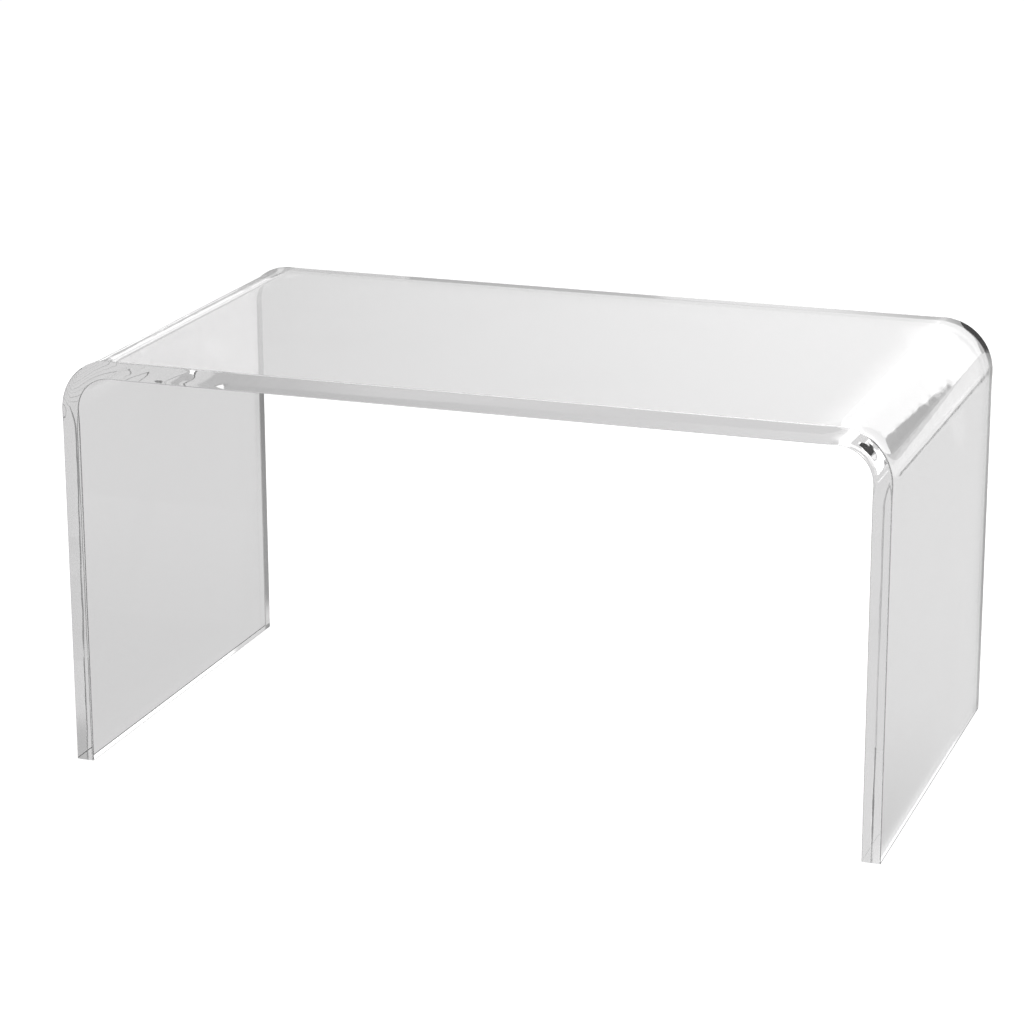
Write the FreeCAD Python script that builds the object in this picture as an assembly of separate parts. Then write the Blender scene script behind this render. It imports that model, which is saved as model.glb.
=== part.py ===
import FreeCAD, Part
import os
from math import pi, sqrt

# Table made from one thick clear acrylic sheet, heat-bent twice into an inverted U.
# It stands on four small self-adhesive pads under the cut ends of its two legs.
# Millimetres. +X runs along the top to the right, +Y to the rear, +Z up.
# The origin is on the floor, under the middle of the top.

# Overall sizes
overall_width = 914.0
overall_depth = 490.0
overall_height = 462.0     # floor to the top surface, pads included

# Sheet
sheet_thickness = 20.0
inside_bend_radius = 40.0
arris_radius = 0.8         # polished rounding along every cut edge

# Floor pads
pad_diameter = 12.7        # at the face that sticks to the sheet
pad_floor_diameter = 11.0
pad_height = 2.0
pad_rim_radius = 0.5       # rounding at the floor
pad_end_inset = 45.0       # front or rear face of a leg to the middle of its pad

touch = 1e-4               # two faces nearer than this are the same face


def vec(x, y, z):
    return FreeCAD.Vector(x, y, z)


def line(a, b):
    return Part.LineSegment(a, b).toShape()


def quarter_bend(centre, radius, side):
    # quarter circle in the front plane, from the leg over to the top
    half = radius / sqrt(2)
    leg_end = centre + vec(side * radius, 0, 0)
    middle = centre + vec(side * half, 0, half)
    top_end = centre + vec(0, 0, radius)
    return Part.Arc(leg_end, middle, top_end).toShape()


def arch(half_width, radius):
    # left leg, bend, top, bend and right leg along one skin of the sheet
    bend_x = overall_width / 2 - sheet_thickness - inside_bend_radius
    bend_z = overall_height - sheet_thickness - inside_bend_radius
    front = -overall_depth / 2
    edges = [line(vec(-bend_x, front, bend_z + radius), vec(bend_x, front, bend_z + radius))]
    for side in (-1, 1):
        foot = vec(side * half_width, front, pad_height)
        edges.append(line(foot, vec(side * half_width, front, bend_z)))
        edges.append(quarter_bend(vec(side * bend_x, front, bend_z), radius, side))
    return edges


def sheet_section():
    outer = overall_width / 2
    inner = outer - sheet_thickness
    front = -overall_depth / 2
    edges = arch(outer, inside_bend_radius + sheet_thickness) + arch(inner, inside_bend_radius)
    for side in (-1, 1):
        edges.append(line(vec(side * outer, front, pad_height), vec(side * inner, front, pad_height)))
    return Part.Face(Part.Wire(Part.__sortEdges__(edges)))


def is_cut_edge(edge):
    # a cut edge lies in the front or rear face, or round the foot of a leg
    box = edge.BoundBox
    return box.YLength < touch or abs(box.ZMax - pad_height) < touch


def bent_sheet():
    blank = sheet_section().extrude(vec(0, overall_depth, 0))
    return blank.makeFillet(arris_radius, [edge for edge in blank.Edges if is_cut_edge(edge)])


def floor_pad(x, y):
    pad = Part.makeCone(pad_floor_diameter / 2, pad_diameter / 2, pad_height, vec(x, y, 0))
    rim = [edge for edge in pad.Edges if abs(edge.BoundBox.ZMax) < touch]
    return pad.makeFillet(pad_rim_radius, rim)


def build():
    nodes = {"bent_sheet": bent_sheet()}
    pad_x = overall_width / 2 - sheet_thickness / 2
    pad_y = overall_depth / 2 - pad_end_inset
    for row, y in (("front", -pad_y), ("rear", pad_y)):
        for leg, x in (("left", -pad_x), ("right", pad_x)):
            nodes[f"pad_{row}_{leg}"] = floor_pad(x, y)
    return nodes


def blank_length():
    # length of the flat sheet before bending, along its middle
    middle_radius = inside_bend_radius + sheet_thickness / 2
    outside_radius = inside_bend_radius + sheet_thickness
    flat_top = overall_width - 2 * outside_radius
    flat_leg = overall_height - pad_height - outside_radius
    return flat_top + 2 * flat_leg + pi * middle_radius


os.makedirs("parts", exist_ok=True)
for name, shape in build().items():
    shape.exportStep(f"parts/{name}.step")
    print(f"{name}: {len(shape.Solids)} solid, valid {shape.isValid()}, {shape.Volume / 1000:.3f} cm3")
print(f"flat blank {blank_length():.1f} x {overall_depth:.0f} x {sheet_thickness:.0f} mm,"
      f" {blank_length() * overall_depth * sheet_thickness / 1000:.1f} cm3 before the arris")
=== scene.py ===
import math
import bpy
from mathutils import Matrix, Vector


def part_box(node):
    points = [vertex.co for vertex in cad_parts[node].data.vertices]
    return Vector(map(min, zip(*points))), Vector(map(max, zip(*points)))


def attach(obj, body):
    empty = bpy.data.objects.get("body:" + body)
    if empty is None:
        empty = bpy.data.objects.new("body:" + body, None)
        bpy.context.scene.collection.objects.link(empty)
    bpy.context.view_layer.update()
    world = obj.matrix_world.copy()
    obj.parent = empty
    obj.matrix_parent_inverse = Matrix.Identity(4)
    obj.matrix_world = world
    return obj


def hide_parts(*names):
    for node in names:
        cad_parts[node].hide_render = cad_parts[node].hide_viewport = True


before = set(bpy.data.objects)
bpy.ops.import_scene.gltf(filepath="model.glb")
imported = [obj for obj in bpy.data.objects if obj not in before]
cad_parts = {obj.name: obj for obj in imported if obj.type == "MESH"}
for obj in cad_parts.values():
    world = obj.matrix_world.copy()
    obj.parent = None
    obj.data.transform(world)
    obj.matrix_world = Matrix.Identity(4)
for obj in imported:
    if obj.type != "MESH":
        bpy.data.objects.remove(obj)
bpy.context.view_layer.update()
sheetLow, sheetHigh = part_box("bent_sheet")

hair = 0.0001       # metres, less than this above the sheet's feet counts as level with them
speck = 0.000001    # metres, stands in for no height at all
facing = 0.98       # share of a normal or an edge along an axis, from which it counts as lying that way


# small helpers shared by the pieces

def deselectAll():
    if bpy.context.mode != "OBJECT":
        bpy.ops.object.mode_set(mode="OBJECT")
    bpy.ops.object.select_all(action="DESELECT")


def settle(obj):
    # leaves the object at the origin with its place in its mesh
    deselectAll()
    obj.select_set(True)
    bpy.context.view_layer.objects.active = obj
    bpy.ops.object.transform_apply(location=True, rotation=True, scale=True)


def pickElements(obj, kind, wanted):
    # picks edges or faces by a test, and leaves the object in edit mode
    bpy.ops.object.mode_set(mode="EDIT")
    bpy.ops.mesh.select_mode(type={"edges": "EDGE", "polygons": "FACE"}[kind])
    bpy.ops.mesh.select_all(action="DESELECT")
    bpy.ops.object.mode_set(mode="OBJECT")
    for item in getattr(obj.data, kind):
        item.select = wanted(item)
    bpy.ops.object.mode_set(mode="EDIT")


# bent sheet

bentSheet = {
    "thickness": 0.020,
    "insideRadius": 0.040,
    "arris": 0.0014,            # width of the widest arris
    "frontShare": 0.8,          # widths of the others as shares of it
    "rearTopShare": 0.2,
    "rearLegShare": 1.0,
    "arrisSteps": 4,
    "arrisAngle": 60,           # degrees, edges sharper than this get an arris
    "outerShadeLine": 0.0011,       # heights of the dark strips of painted shade along the feet, whose edges stay sharp
    "innerShadeLine": 0.0003,
    "bendSteps": 60,
    "depthCuts": 119,
    "edgeCrowding": 0.35,       # crowds the cuts towards the front and rear edges
    "thicknessCuts": 5,
    "legSteps": 6,
    "topSteps": 14,
    "heatReach": 0.018,         # softened length past each end of a bend
    "heatSteps": 5,
    "leastHeat": 0.001,         # share of the heat up to which the sheet keeps its form
    "curl": 0.0018,             # the free edges of a bend lift out of its curve
    "curlWidth": 0.034,
    "flare": 0.0010,            # the squeezed inner side bulges, the stretched outer side draws in
    "flareWidth": 0.014,
    "ripple": 0.00012,
    "rippleSize": 0.020,
    "mergeDistance": 0.00001,
    "smoothAngle": 35,          # degrees
}
bendRadius = bentSheet["insideRadius"] + bentSheet["thickness"]
bendX = sheetHigh.x - bendRadius
bendZ = sheetHigh.z - bendRadius


def edgeRunsAlong(mesh, edge, axis):
    a, b = (mesh.vertices[i].co for i in edge.vertices)
    return abs(a[axis] - b[axis]) > facing * (a - b).length


def makeFoot(s):
    # the underside of the left foot, cut across its depth and thickness
    deselectAll()
    legMiddle = sheetLow.x + s["thickness"] / 2
    bpy.ops.mesh.primitive_plane_add(size=1, location=(legMiddle, 0, sheetLow.z))
    sheet = bpy.context.object
    sheet.name = "bentSheet"
    sheet.scale = (s["thickness"], sheetHigh.y - sheetLow.y, 1)
    settle(sheet)
    for axis, cuts in ((1, s["depthCuts"]), (0, s["thicknessCuts"])):
        pickElements(sheet, "edges", lambda e: edgeRunsAlong(sheet.data, e, axis))
        bpy.ops.mesh.subdivide(number_cuts=cuts)
    bpy.ops.object.mode_set(mode="OBJECT")
    for vertex in sheet.data.vertices:
        share = vertex.co.y / sheetHigh.y
        vertex.co.y = sheetHigh.y * (share + s["edgeCrowding"] * (share - share ** 3))
    return sheet


def extrudeSteps(move, steps):
    for _ in range(steps):
        bpy.ops.mesh.extrude_region_move(TRANSFORM_OT_translate={"value": tuple(move / steps)})


def spinBend(s, x):
    bpy.ops.mesh.spin(steps=s["bendSteps"], angle=-math.pi / 2, center=(x, 0, bendZ), axis=(0, 1, 0))


def drawOutSheet(s):
    # up the left leg, over both bends and down the right leg
    heat = s["heatReach"]
    legLength = bendZ - sheetLow.z - heat
    bpy.ops.object.mode_set(mode="EDIT")
    bpy.ops.mesh.select_all(action="SELECT")
    extrudeSteps(Vector((0, 0, legLength)), s["legSteps"])
    extrudeSteps(Vector((0, 0, heat)), s["heatSteps"])
    spinBend(s, -bendX)
    extrudeSteps(Vector((heat, 0, 0)), s["heatSteps"])
    extrudeSteps(Vector((2 * (bendX - heat), 0, 0)), s["topSteps"])
    extrudeSteps(Vector((heat, 0, 0)), s["heatSteps"])
    spinBend(s, bendX)
    extrudeSteps(Vector((0, 0, -heat)), s["heatSteps"])
    extrudeSteps(Vector((0, 0, -legLength)), s["legSteps"])
    bpy.ops.mesh.select_all(action="SELECT")
    bpy.ops.mesh.remove_doubles(threshold=s["mergeDistance"])
    bpy.ops.mesh.normals_make_consistent(inside=False)


def arrisShare(s, place):
    # none along the feet, and at the rear wider from the top down to the legs
    if place.z < sheetLow.z + hair:
        return 0
    if place.y < 0:
        return s["frontShare"]
    turn = math.atan2(max(0, abs(place.x) - bendX), max(speck, place.z - bendZ)) / (math.pi / 2)
    return s["rearTopShare"] + (s["rearLegShare"] - s["rearTopShare"]) * turn


def markArrises(sheet, s):
    bpy.ops.mesh.select_mode(type="EDGE")
    bpy.ops.mesh.select_all(action="DESELECT")
    bpy.ops.mesh.edges_select_sharp(sharpness=math.radians(s["arrisAngle"]))
    bpy.ops.object.mode_set(mode="OBJECT")
    shares = sheet.data.attributes.new("bevel_weight_edge", "FLOAT", "EDGE")
    for edge in sheet.data.edges:
        if edge.select:
            ends = [sheet.data.vertices[i].co for i in edge.vertices]
            shares.data[edge.index].value = arrisShare(s, (ends[0] + ends[1]) / 2)


def heatedPoint(s, place):
    # share of the heat at a point, the way out of the bend there, and the layer from inner -1 to outer 1
    side = math.copysign(1, place.x)
    across, rise = abs(place.x) - bendX, place.z - bendZ
    middle = s["insideRadius"] + s["thickness"] / 2
    halfArc = middle * math.pi / 4
    if across <= 0:
        along, outward, radius = halfArc - across, Vector((0, 0, 1)), rise
    elif rise <= 0:
        along, outward, radius = halfArc - rise, Vector((side, 0, 0)), across
    else:
        angle = math.atan2(across, rise)
        along = abs(angle - math.pi / 4) * middle
        outward = Vector((side * math.sin(angle), 0, math.cos(angle)))
        radius = math.hypot(across, rise)
    share = math.cos(min(1, along / (halfArc + s["heatReach"])) * math.pi / 2) ** 2
    return share, outward, (radius - middle) / (s["thickness"] / 2)


def nearEdge(place, width):
    inset = (abs(place.y) - (sheetHigh.y - width)) / width
    return max(0, inset) ** 2


def bendEdges(sheet, s):
    heated = sheet.vertex_groups.new(name="heated")
    for vertex in sheet.data.vertices:
        share, outward, layer = heatedPoint(s, vertex.co)
        if share > s["leastHeat"]:
            side = math.copysign(1, vertex.co.y)
            lift = s["curl"] * share * nearEdge(vertex.co, s["curlWidth"])
            slide = s["flare"] * share * nearEdge(vertex.co, s["flareWidth"]) * layer
            heated.add([vertex.index], share, "REPLACE")
            vertex.co += outward * lift - Vector((0, side * slide, 0))


def rippleBends(sheet, s):
    texture = bpy.data.textures.new("bendRipple", "CLOUDS")
    texture.noise_scale = s["rippleSize"]
    waves = sheet.modifiers.new("ripple", "DISPLACE")
    waves.texture = texture
    waves.texture_coords = "LOCAL"
    waves.vertex_group = "heated"
    waves.strength = s["ripple"]
    bpy.ops.object.modifier_apply(modifier=waves.name)


def roundArrises(sheet, s):
    arris = sheet.modifiers.new("arris", "BEVEL")
    arris.width = s["arris"]
    arris.segments = s["arrisSteps"]
    arris.limit_method = "WEIGHT"
    bpy.ops.object.modifier_apply(modifier=arris.name)


def shadeLineHeight(s, face):
    # only the outer and inner sides of the legs get a strip of painted shade
    if abs(face.normal.x) < facing or face.center.z > bendZ:
        return 0
    return s["outerShadeLine"] if face.normal.x * face.center.x > 0 else s["innerShadeLine"]


def cutFeet(sheet, s):
    # an edge along the top of each strip of painted shade
    for height in (s["outerShadeLine"], s["innerShadeLine"]):
        pickElements(sheet, "polygons", lambda f: shadeLineHeight(s, f) == height)
        bpy.ops.mesh.bisect(plane_co=(0, 0, sheetLow.z + height), plane_no=(0, 0, 1))
    bpy.ops.object.mode_set(mode="OBJECT")


def makeBentSheet(s):
    sheet = makeFoot(s)
    drawOutSheet(s)
    markArrises(sheet, s)
    bendEdges(sheet, s)
    rippleBends(sheet, s)
    roundArrises(sheet, s)
    cutFeet(sheet, s)
    bpy.ops.object.shade_smooth_by_angle(angle=math.radians(s["smoothAngle"]))
    weighted = sheet.modifiers.new("weighted", "WEIGHTED_NORMAL")
    weighted.keep_sharp = True
    bpy.ops.object.modifier_apply(modifier=weighted.name)
    return sheet


# node helpers

def grey(level):
    return (level, level, level, 1)


def feed(tree, socket, value):
    if isinstance(value, (int, float)):
        socket.default_value = value
    else:
        tree.links.new(value, socket)


def maths(tree, operation, first, second):
    node = tree.nodes.new("ShaderNodeMath")
    node.operation = operation
    feed(tree, node.inputs[0], first)
    feed(tree, node.inputs[1], second)
    return node.outputs[0]


def plus(tree, first, second):
    return maths(tree, "ADD", first, second)


def times(tree, first, second):
    return maths(tree, "MULTIPLY", first, second)


def larger(tree, first, second):
    return maths(tree, "MAXIMUM", first, second)


def smoothRange(tree, value, fromRange, toRange=(0, 1)):
    node = tree.nodes.new("ShaderNodeMapRange")
    node.interpolation_type = "SMOOTHSTEP"
    node.inputs["From Min"].default_value, node.inputs["From Max"].default_value = fromRange
    feed(tree, node.inputs["Value"], value)
    feed(tree, node.inputs["To Min"], toRange[0])
    feed(tree, node.inputs["To Max"], toRange[1])
    return node.outputs[0]


def mixValues(tree, factor, first, second):
    return smoothRange(tree, factor, (0, 1), (first, second))


def mixShaders(tree, factor, first, second):
    mix = tree.nodes.new("ShaderNodeMixShader")
    for socket, source in zip(mix.inputs, (factor, first, second)):
        tree.links.new(source, socket)
    return mix.outputs[0]


def past(tree, value, edge, fade):
    # 0 before an edge, 1 past it
    return smoothRange(tree, value, (edge - fade / 2, edge + fade / 2))


def leaning(tree, first, second, lean):
    return plus(tree, first, times(tree, second, lean))


def coordinate(tree, kind, axis):
    coords = tree.nodes.new("ShaderNodeTexCoord")
    split = tree.nodes.new("ShaderNodeSeparateXYZ")
    tree.links.new(coords.outputs[kind], split.inputs[0])
    return split.outputs[axis]


def lightPath(tree, name):
    return tree.nodes.new("ShaderNodeLightPath").outputs[name]


def mirrored(tree):
    # 0 in rays that cross the sheet straight, 1 once it has mirrored them
    return maths(tree, "MINIMUM", lightPath(tree, "Glossy Depth"), 1)


def glow(tree, strength, kind="ShaderNodeEmission"):
    node = tree.nodes.new(kind)
    node.inputs["Color"].default_value = grey(1)
    feed(tree, node.inputs["Strength"], strength)
    return node.outputs[0]


def noise(tree, scale, detail, stretch=(1, 1, 1), turn=0.0):
    coords = tree.nodes.new("ShaderNodeTexCoord")
    mapping = tree.nodes.new("ShaderNodeMapping")
    mapping.inputs["Scale"].default_value = stretch
    mapping.inputs["Rotation"].default_value = (turn, turn, turn)
    texture = tree.nodes.new("ShaderNodeTexNoise")
    feed(tree, texture.inputs["Scale"], scale)
    texture.inputs["Detail"].default_value = detail
    tree.links.new(coords.outputs["Object"], mapping.inputs["Vector"])
    tree.links.new(mapping.outputs[0], texture.inputs["Vector"])
    return texture.outputs[0]


def newGroup(name, inputs, outputs):
    group = bpy.data.node_groups.new(name, "ShaderNodeTree")
    for label in inputs:
        group.interface.new_socket(label, in_out="INPUT", socket_type="NodeSocketFloat")
    for label in outputs:
        group.interface.new_socket(label, in_out="OUTPUT", socket_type="NodeSocketFloat")
    given = group.nodes.new("NodeGroupInput").outputs
    made = group.nodes.new("NodeGroupOutput").inputs
    return group, given, made


def placeGroup(tree, group, values):
    node = tree.nodes.new("ShaderNodeGroup")
    node.node_tree = group
    for label, value in values.items():
        node.inputs[label].default_value = value
    return node.outputs


# surface effects shared by the materials

handlingMarks = {
    "patchDetail": 4,
    "patchRange": (0.48, 0.72),     # of the noise, from clean to dull
    "patchTone": 0.985,
    "streakScale": 16,
    "streakDetail": 5,
    "streakStretch": (1, 11, 5),
    "streakTurn": 0.5,
    "streakRange": (0.52, 0.74),
}
waveDetail = 2


def makeHandling(s):
    # dull patches left by hands and the streaks of a wiping cloth
    group, given, made = newGroup("handling", ["Patch Scale", "Patch", "Streak"], ["Roughness", "Tone"])
    patches = smoothRange(group, noise(group, given["Patch Scale"], s["patchDetail"]), s["patchRange"])
    lines = noise(group, s["streakScale"], s["streakDetail"], s["streakStretch"], s["streakTurn"])
    streaks = smoothRange(group, lines, s["streakRange"])
    dull = plus(group, times(group, patches, given["Patch"]), times(group, streaks, given["Streak"]))
    group.links.new(dull, made["Roughness"])
    group.links.new(mixValues(group, patches, 1, s["patchTone"]), made["Tone"])
    return group


def makeRipple():
    # faint unevenness left by casting or polishing
    group, given, made = newGroup("ripple", ["Wave Scale"], ["Height"])
    group.links.new(noise(group, given["Wave Scale"], waveDetail), made["Height"])
    return group


handling = makeHandling(handlingMarks)
ripple = makeRipple()

finishes = {
    "castFace": {
        "color": (0.802, 0.797, 0.800), "roughness": 0.0, "patchScale": 7, "patch": 0.022, "streak": 0.012,
        "waveScale": 11, "waveHeight": 0.00005, "ior": 1.49, "transmission": 1.0,
    },
    "polishedEdge": {
        "color": (0.802, 0.797, 0.800), "roughness": 0.0, "patchScale": 18, "patch": 0.012, "streak": 0.012,
        "waveScale": 140, "waveHeight": 0.000004, "ior": 1.49, "transmission": 1.0,
    },
    # painted shade: the dark tint of the arrises on the legs and bends stands in for the dark room seen
    # through them
    "scrapedShadedArris": {
        "color": (0.20, 0.20, 0.20), "roughness": 0.10, "patchScale": 90, "patch": 0.10, "streak": 0.10,
        "waveScale": 300, "waveHeight": 0.00001, "ior": 1.49, "transmission": 1.0,
    },
    "sawnFoot": {
        "color": (0.94, 0.94, 0.94), "roughness": 0.01, "patchScale": 60, "patch": 0.02, "streak": 0.02,
        "waveScale": 400, "waveHeight": 0.00001, "ior": 1.49, "transmission": 1.0,
    },
    # painted shade: a dark opaque line along the bottom of the legs' sides
    "footShadeLine": {
        "color": (0.10, 0.10, 0.10), "roughness": 0.50, "patchScale": 120, "patch": 0.15, "streak": 0.10,
        "waveScale": 300, "waveHeight": 0.00001, "ior": 1.49, "transmission": 0.0,
    },
    "clearPad": {
        "color": (0.90, 0.90, 0.89), "roughness": 0.28, "patchScale": 160, "patch": 0.14, "streak": 0.05,
        "waveScale": 700, "waveHeight": 0.00002, "ior": 1.45, "transmission": 0.85,
    },
}
lampShare = 0.9     # share of a lamp's light that each surface lets through


def makeFinish(name):
    s = finishes[name]
    material = bpy.data.materials.new(name)
    material.use_nodes = True
    tree = material.node_tree
    shader = tree.nodes["Principled BSDF"]
    marks = {"Patch Scale": s["patchScale"], "Patch": s["patch"], "Streak": s["streak"]}
    worn = placeGroup(tree, handling, marks)
    wavy = placeGroup(tree, ripple, {"Wave Scale": s["waveScale"]})
    tint = tree.nodes.new("ShaderNodeMix")
    tint.data_type = "RGBA"
    tint.blend_type = "MULTIPLY"
    # a mix node's sockets for colours share their names with its other sockets, so they go by number
    factorIn, colorIn, toneIn, colorOut = 0, 6, 7, 2
    tint.inputs[factorIn].default_value = 1.0
    tint.inputs[colorIn].default_value = (*s["color"], 1)
    tree.links.new(worn["Tone"], tint.inputs[toneIn])
    tree.links.new(tint.outputs[colorOut], shader.inputs["Base Color"])
    tree.links.new(plus(tree, worn["Roughness"], s["roughness"]), shader.inputs["Roughness"])
    bump = tree.nodes.new("ShaderNodeBump")
    bump.inputs["Distance"].default_value = s["waveHeight"]
    tree.links.new(wavy["Height"], bump.inputs["Height"])
    tree.links.new(bump.outputs[0], shader.inputs["Normal"])
    shader.inputs["IOR"].default_value = s["ior"]
    shader.inputs["Transmission Weight"].default_value = s["transmission"]
    surface = shader.outputs[0]
    if s["transmission"] == 0:
        # the painted shade line is dark where seen straight, and clear glass among the mirror images inside
        # the sheet
        glass = tree.nodes.new("ShaderNodeBsdfGlass")
        glass.inputs["IOR"].default_value = s["ior"]
        surface = mixShaders(tree, mirrored(tree), surface, glass.outputs[0])
    # lamps shine through the sheet, so its shadow stays faint
    clear = tree.nodes.new("ShaderNodeBsdfTransparent")
    clear.inputs["Color"].default_value = grey(lampShare)
    surface = mixShaders(tree, lightPath(tree, "Is Shadow Ray"), surface, clear.outputs[0])
    tree.links.new(surface, tree.nodes["Material Output"].inputs["Surface"])
    return material


# which part of the sheet has which finish

finishZones = {
    "arrisSlope": 0.12,         # share of the normal along Y, from which a face is part of an arris
    "arrisInset": 0.0025,       # greatest distance of an arris from the front or rear
    "shadedArrisBelow": 0.05,       # above the bends' middle, so the top's upper arrises stay polished and free of the painted shade
    "edgeSlope": 0.6,           # share of the normal along Y, from which a face is part of a cut edge
}


def finishOf(face, s):
    if face.normal.z < -facing and face.center.z < sheetLow.z + hair:
        return "sawnFoot"
    # the painted shade line along the feet
    if face.center.z < sheetLow.z + shadeLineHeight(bentSheet, face):
        return "footShadeLine"
    slope, inset = abs(face.normal.y), sheetHigh.y - abs(face.center.y)
    onArris = s["arrisSlope"] < slope < facing and inset < s["arrisInset"]
    # the arrises of the legs and bends get the painted shade
    if onArris and face.center.z < bendZ + s["shadedArrisBelow"]:
        return "scrapedShadedArris"
    return "polishedEdge" if slope > s["edgeSlope"] else "castFace"


sheet = makeBentSheet(bentSheet)
sheetFinishes = ["castFace", "polishedEdge", "scrapedShadedArris", "sawnFoot", "footShadeLine"]
for name in sheetFinishes:
    sheet.data.materials.append(makeFinish(name))
for face in sheet.data.polygons:
    face.material_index = sheetFinishes.index(finishOf(face, finishZones))
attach(sheet, "root")
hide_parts("bent_sheet")
print("bent sheet made,", len(sheet.data.polygons), "faces")


# pads under the feet

pad = {
    "height": 0.00198,          # ends just short of the sheet
    "footRadius": 0.0055,
    "sides": 48,
    "rim": 0.0005,
    "rimSteps": 4,
    "dishInset": 0.0016,
    "dishSlope": 0.00036,       # width of the slope round the dish
    "dish": 0.00012,
    "smoothAngle": 30,          # degrees
}


def makePad(node, s):
    low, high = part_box(node)
    radius = (high.x - low.x) / 2
    middle = ((low.x + high.x) / 2, (low.y + high.y) / 2, low.z + s["height"] / 2)
    deselectAll()
    bpy.ops.mesh.primitive_cylinder_add(
        vertices=s["sides"], radius=radius, depth=s["height"], location=middle)
    piece = bpy.context.object
    settle(piece)
    pickElements(piece, "polygons", lambda f: f.normal.z < -facing)
    shrink = s["footRadius"] / radius
    bpy.ops.transform.resize(value=(shrink, shrink, 1), center_override=(middle[0], middle[1], low.z))
    bpy.ops.mesh.bevel(offset=s["rim"], segments=s["rimSteps"], affect="EDGES")
    pickElements(piece, "polygons", lambda f: f.normal.z < -facing and len(f.vertices) == s["sides"])
    bpy.ops.mesh.inset(thickness=s["dishInset"])
    bpy.ops.mesh.inset(thickness=s["dishSlope"])
    bpy.ops.transform.translate(value=(0, 0, s["dish"]))
    bpy.ops.object.mode_set(mode="OBJECT")
    bpy.ops.object.shade_smooth_by_angle(angle=math.radians(s["smoothAngle"]))
    return piece


padFinish = makeFinish("clearPad")
padNodes = ["pad_front_left", "pad_front_right", "pad_rear_left", "pad_rear_right"]
firstPad = makePad(padNodes[0], pad)
for node in padNodes:
    piece = firstPad
    if node != padNodes[0]:
        piece = firstPad.copy()
        piece.data = firstPad.data.copy()
        bpy.context.scene.collection.objects.link(piece)
        piece.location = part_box(node)[0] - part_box(padNodes[0])[0]
        settle(piece)
    side, end = node.split("_")[1:]
    piece.name = side + end.capitalize() + "Pad"
    piece.data.materials.append(padFinish)
    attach(piece, "root")
    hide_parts(node)
print("pads made,", len(firstPad.data.polygons), "faces each")


# studio: pale floor and walls, a rear light panel, an overhead softbox

studio = {
    "floorSize": 40.0,
    "floorColor": 0.5,
    "floorLift": 0.75,          # brings the floor to white round the table's shadow
    "pale": 0.82,               # floor and walls, seen straight through the sheet
    "layerDepths": (2, 4),      # transmission depths behind one layer of sheet and behind two
    "secondLayer": (1.3, 1.8),  # the floor's lift behind two, beside and behind the table
    "secondFade": (0.5, 1.0),   # along Y
    "under": 0.92,              # painted shadow of the table on the floor under it, as a share
    "underFade": (0.0, 0.8),    # along Y
    "frontFloor": 0.06,         # floor ahead of the table, where the sheet mirrors it
    "frontFade": (-0.55, 0.1),  # along Y, from dark to pale
    "frontEnd": (-2.0, -1.6),   # along Y, from pale again to dark
    "frontLean": -0.35,         # the dark floor comes nearer towards the right
    "frontRight": (0.45, 0.75),     # and ends there
    "frontLeft": (-0.25, 0.05),     # and begins there
    "sideFloor": 0.25,          # floor left of the table, mirrored by the left leg's rear edge
    "sideBehind": 0.85,         # and behind a second layer of sheet
    "darkLeft": (-0.52, -0.46),     # along X, its right end
    "darkRight": (0.1, 0.2),    # along X, dark floor mirrored once by the right leg's rear edge
    "darkRightEnd": (0.44, 0.46),
    "darkAhead": (-0.6, -0.45),     # along Y, its front end
    "darkEnd": (0.23, 0.245),   # along Y, the rear end of both
    "mirrorings": (1, 2),       # glossy depths once and twice mirrored
    "onSheet": 0.87,            # floor mirrored on the outside of the sheet
    "inLegs": (0.94, 1.05),     # floor mirrored inside the left and right legs, as multiples
    "legFade": (-0.2, 0.2),
    "mirroredLeft": 0.62,       # walls mirrored on the sheet, left and right of the middle
    "mirroredRight": 1.5,
    "leftGlow": 1.3,            # low part of the left wall, and its foot
    "leftFade": (0.19, 0.215),
    "leftFoot": 0.6,
    "leftFootFade": (0.08, 0.14),
    "inGlassLeft": 0.43,        # walls mirrored inside the sheet
    "inGlassRight": 0.95,
    "wallFade": (-0.55, -0.15),
    "overhead": 2.2,            # overhead glow as a multiple of the horizon's
    "overheadFade": (0.45, 0.6),
    "cameraSide": 0.45,         # glow of the camera's side of the room
    "cameraFade": (-0.2, 0.3),
    "rightSide": 0.05,          # and of its rear right corner
    "cornerX": (0.42, 0.5),
    "cornerY": (0.3, 0.45),
    "daylight": 0.55,
}


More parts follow.
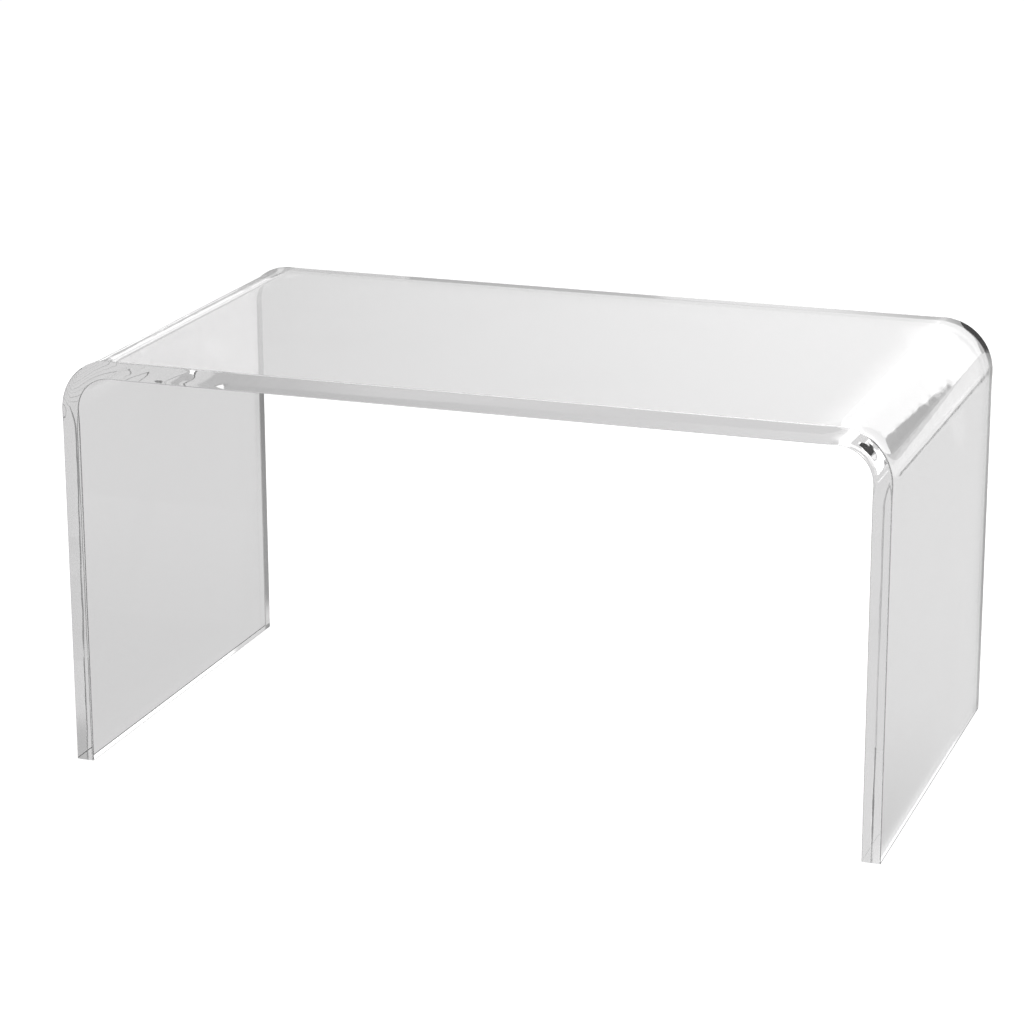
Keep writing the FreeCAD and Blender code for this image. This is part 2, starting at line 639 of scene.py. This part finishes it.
def makeWorld(s):
    world = bpy.data.worlds.new("paleStudio")
    bpy.context.scene.world = world
    world.use_nodes = True
    tree = world.node_tree
    tree.nodes.clear()
    out = tree.nodes.new("ShaderNodeOutputWorld")
    x, y, z = (coordinate(tree, "Generated", axis) for axis in "XYZ")
    corner = times(tree, smoothRange(tree, x, s["cornerX"]), smoothRange(tree, y, s["cornerY"]))
    room = times(tree, smoothRange(tree, z, s["overheadFade"], (1, s["overhead"])),
                 smoothRange(tree, y, s["cameraFade"], (s["cameraSide"], 1)))
    room = times(tree, room, mixValues(tree, corner, 1, s["rightSide"]))
    left = smoothRange(tree, z, s["leftFootFade"], (s["leftFoot"], s["leftGlow"]))
    left = smoothRange(tree, z, s["leftFade"], (left, s["mirroredLeft"]))
    onSheet = times(tree, room, smoothRange(tree, x, s["wallFade"], (left, s["mirroredRight"])))
    left = smoothRange(tree, z, s["leftFade"], (s["leftGlow"], s["inGlassLeft"]))
    inSheet = times(tree, room, smoothRange(tree, x, s["wallFade"], (left, s["inGlassRight"])))
    through = mixValues(tree, mirrored(tree), s["pale"], inSheet)
    strength = mixValues(tree, lightPath(tree, "Is Glossy Ray"), s["daylight"], onSheet)
    strength = mixValues(tree, lightPath(tree, "Is Transmission Ray"), strength, through)
    strength = mixValues(tree, lightPath(tree, "Is Camera Ray"), strength, 1)
    tree.links.new(glow(tree, strength, "ShaderNodeBackground"), out.inputs["Surface"])


def stagePlane(name, place, size, turn=(0, 0, 0)):
    deselectAll()
    bpy.ops.mesh.primitive_plane_add(size=1, location=place, rotation=turn)
    plane = bpy.context.object
    plane.name = name
    plane.scale = (size[0], size[1], 1)
    settle(plane)
    material = bpy.data.materials.new(name)
    material.use_nodes = True
    material.node_tree.nodes.clear()
    plane.data.materials.append(material)
    out = material.node_tree.nodes.new("ShaderNodeOutputMaterial")
    return plane, material.node_tree, out.inputs["Surface"]


def mirroredFloor(tree, s):
    # painted shade on the floor: dark ahead of the table and by its rear edges, pale elsewhere
    x, y = (coordinate(tree, "Object", axis) for axis in "XY")
    ahead = leaning(tree, y, x, s["frontLean"])
    strength = larger(tree, smoothRange(tree, ahead, s["frontFade"], (s["frontFloor"], s["pale"])),
                      smoothRange(tree, y, s["frontEnd"], (s["pale"], 0)))
    strength = larger(tree, strength, smoothRange(tree, x, s["frontRight"], (0, s["pale"])))
    strength = larger(tree, strength, smoothRange(tree, x, s["frontLeft"], (s["pale"], 0)))
    beside = smoothRange(tree, y, s["darkEnd"], (1, 0))
    right = times(tree, smoothRange(tree, x, s["darkRight"]), smoothRange(tree, x, s["darkRightEnd"], (1, 0)))
    right = times(tree, right, smoothRange(tree, y, s["darkAhead"]))
    right = times(tree, right, smoothRange(tree, lightPath(tree, "Glossy Depth"), s["mirrorings"], (1, 0)))
    strength = mixValues(tree, times(tree, right, beside), strength, s["frontFloor"])
    left = times(tree, smoothRange(tree, x, s["darkLeft"], (1, 0)), beside)
    layers = lightPath(tree, "Transmission Depth")
    level = smoothRange(tree, layers, s["layerDepths"], (s["sideFloor"], s["sideBehind"]))
    strength = mixValues(tree, left, strength, level)
    inside = times(tree, strength, smoothRange(tree, x, s["legFade"], s["inLegs"]))
    return mixValues(tree, lightPath(tree, "Is Reflection Ray"), inside, s["onSheet"])


def makeFloor(s):
    tree, surface = stagePlane("paleFloor", (0, 0, 0), (s["floorSize"], s["floorSize"]))[1:]
    diffuse = tree.nodes.new("ShaderNodeBsdfDiffuse")
    diffuse.inputs["Color"].default_value = grey(s["floorColor"])
    lift = tree.nodes.new("ShaderNodeAddShader")
    tree.links.new(diffuse.outputs[0], lift.inputs[0])
    tree.links.new(glow(tree, s["floorLift"]), lift.inputs[1])
    y = coordinate(tree, "Object", "Y")
    lifted = times(tree, smoothRange(tree, y, s["secondFade"], s["secondLayer"]), s["pale"])
    straight = smoothRange(tree, lightPath(tree, "Transmission Depth"), s["layerDepths"], (s["pale"], lifted))
    # painted shadow of the table on the floor seen straight through the sheet
    straight = times(tree, straight, smoothRange(tree, y, s["underFade"], (s["under"], 1)))
    inGlass = glow(tree, mixValues(tree, mirrored(tree), straight, mirroredFloor(tree, s)))
    glassRay = larger(tree, lightPath(tree, "Is Glossy Ray"), lightPath(tree, "Is Transmission Ray"))
    seen = mixShaders(tree, glassRay, diffuse.outputs[0], inGlass)
    tree.links.new(mixShaders(tree, lightPath(tree, "Is Camera Ray"), seen, lift.outputs[0]), surface)


lightPanel = {
    "y": 3.6,
    "across": (-1.3, 2.2),
    "up": (0.02, 2.4),
    "glow": 2.1,
    "inGlass": 1.5,             # its glow inside the sheet
    "leftEdge": 0.81,           # soft left edge of the light, and its lean with height
    "lean": 0.876,
    "fade": 0.16,
}
darkFlag = {                    # stands before the panel and beyond its right end
    "y": 3.55,
    "across": (0.3, 7.0),
    "up": (0.0, 3.6),
    "glow": 0.04,
    "leftEdge": 1.681,          # its left edge, and the edge's lean with height
    "leftLean": 0.12,
    "lowEdge": 0.28,
    "farEdge": 2.15,            # reaches the floor past here
    "cornerEdge": 3.36,         # cuts the panel's upper right corner aslant
    "cornerLean": 1.35,
    "fade": 0.04,
}
lowCard = {                     # low behind the table, mirrored inside its legs, bends and edges
    "y": 0.7,
    "across": (-1.6, 1.6),
    "up": (0.0, 0.45),
    "glow": 0.80,
    "patches": {                # glow, then edges: shown where a * x + b * z > c, with a fade
        "leftLeg": (0.81, [(-1, 0, 0.24, 0.03), (0, -1, -0.24, 0.02)]),
        "rightHalf": (0.92, [(1, 0, 0.3, 0.6)]),
        "rightLeg": (0.88, [(1, 0, 0.33, 0.02), (-1, 0, -0.55, 0.02), (0, -1, -0.24, 0.02)]),
        "rightLegOutside": (0.87, [(1, 0, 0.55, 0.02), (-1, 0, -0.75, 0.10), (0, -1, -0.30, 0.10)]),
        "frontEdge": (0.58, [(-1, 0, 0.5, 0.5), (0, 1, 0.27, 0.06)]),
        "leftBendOutside": (0.62, [(-1, 0, 0.71, 0.02)]),
        "leftBend": (1.50, [(-1, 0, 0.71, 0.02), (-0.31, 1, 0.64, 0.02)]),
        "leftUnderside": (1.70, [(-1, 0, 0.71, 0.02), (0.83, 1, -0.392, 0.006), (-0.83, -1, 0.364, 0.006)]),
        "rightUnderside": (1.70, [(1, 0, 0.04, 0.02), (1.92, 1, 0.80, 0.01), (-1, 0, -0.325, 0.01)]),
        "rightBend": (1.20, [(1.1, 1, 0.96, 0.20)]),
        "rightBendFront": (0.50, [(1, 1.4, 1.27, 0.03)]),
    },
}


def panelShape(tree, s, x, z):
    strength = mixValues(tree, lightPath(tree, "Is Transmission Ray"), s["glow"], s["inGlass"])
    return past(tree, leaning(tree, x, z, s["lean"]), s["leftEdge"], s["fade"]), strength


def flagShape(tree, s, x, z):
    left = past(tree, leaning(tree, x, z, s["leftLean"]), s["leftEdge"], s["fade"])
    shown = times(tree, left, past(tree, z, s["lowEdge"], s["fade"]))
    shown = larger(tree, shown, past(tree, x, s["farEdge"], s["fade"]))
    corner = past(tree, leaning(tree, x, z, s["cornerLean"]), s["cornerEdge"], s["fade"])
    return larger(tree, shown, corner), s["glow"]


def cardShape(tree, s, x, z):
    strength = s["glow"]
    for level, edges in s["patches"].values():
        shown = 1.0
        for a, b, c, fade in edges:
            along = plus(tree, times(tree, x, a), times(tree, z, b))
            shown = times(tree, shown, past(tree, along, c, fade))
        strength = mixValues(tree, shown, strength, level)
    return 1.0, strength


def standingCard(name, s, shape):
    # shows only to rays that the sheet has mirrored
    middle = (sum(s["across"]) / 2, s["y"], sum(s["up"]) / 2)
    size = (s["across"][1] - s["across"][0], s["up"][1] - s["up"][0])
    card, tree, surface = stagePlane(name, middle, size, (math.pi / 2, 0, 0))
    card.visible_camera = False
    card.visible_diffuse = False
    card.visible_shadow = False
    x, z = (coordinate(tree, "Object", axis) for axis in "XZ")
    shown, strength = shape(tree, s, x, z)
    clear = tree.nodes.new("ShaderNodeBsdfTransparent")
    shown = times(tree, mirrored(tree), shown)
    tree.links.new(mixShaders(tree, shown, clear.outputs[0], glow(tree, strength)), surface)


softbox = {
    "place": (0.6, 0.8, 2.6),
    "aim": (0, 0, 0.3),
    "size": (1.8, 1.8),
    "power": 40,
}


def makeSoftbox(name, s):
    data = bpy.data.lights.new(name, "AREA")
    data.shape = "RECTANGLE"
    data.size, data.size_y = s["size"]
    data.energy = s["power"]
    lamp = bpy.data.objects.new(name, data)
    bpy.context.scene.collection.objects.link(lamp)
    lamp.location = s["place"]
    lamp.rotation_euler = (Vector(s["aim"]) - Vector(s["place"])).to_track_quat("-Z", "Y").to_euler()
    lamp.visible_glossy = False
    lamp.visible_transmission = False


makeWorld(studio)
makeFloor(studio)
standingCard("lightPanel", lightPanel, panelShape)
standingCard("darkFlag", darkFlag, flagShape)
standingCard("lowCard", lowCard, cardShape)
makeSoftbox("overheadSoftbox", softbox)
print("studio ready")


# camera at the photograph's viewing angle

viewpoint = {
    "place": (1.1426, -3.2955, 1.3190),
    "turn": 19.58,              # degrees
    "tilt": -16.83,
    "roll": -0.15,
    "lens": 115.03,             # millimetres
    "sensor": 36.0,
    "bounces": 128,             # rays mirror many times inside the sheet before they leave it
}


def makeCamera(s):
    data = bpy.data.cameras.new("photoView")
    data.lens = s["lens"]
    data.sensor_width = s["sensor"]
    data.sensor_fit = "HORIZONTAL"
    camera = bpy.data.objects.new("photoView", data)
    bpy.context.scene.collection.objects.link(camera)
    turn = Matrix.Rotation(math.radians(s["turn"]), 3, "Z")
    tilt = Matrix.Rotation(math.radians(90 + s["tilt"]), 3, "X")
    roll = Matrix.Rotation(math.radians(s["roll"]), 3, "Z")
    camera.location = s["place"]
    camera.rotation_euler = (turn @ tilt @ roll).to_euler()
    bpy.context.scene.camera = camera


def setView(s):
    bpy.context.scene.view_settings.view_transform = "Standard"
    cycles = bpy.context.scene.cycles
    cycles.max_bounces = s["bounces"]
    cycles.transmission_bounces = s["bounces"]
    cycles.glossy_bounces = s["bounces"]


makeCamera(viewpoint)
setView(viewpoint)
print("camera set")
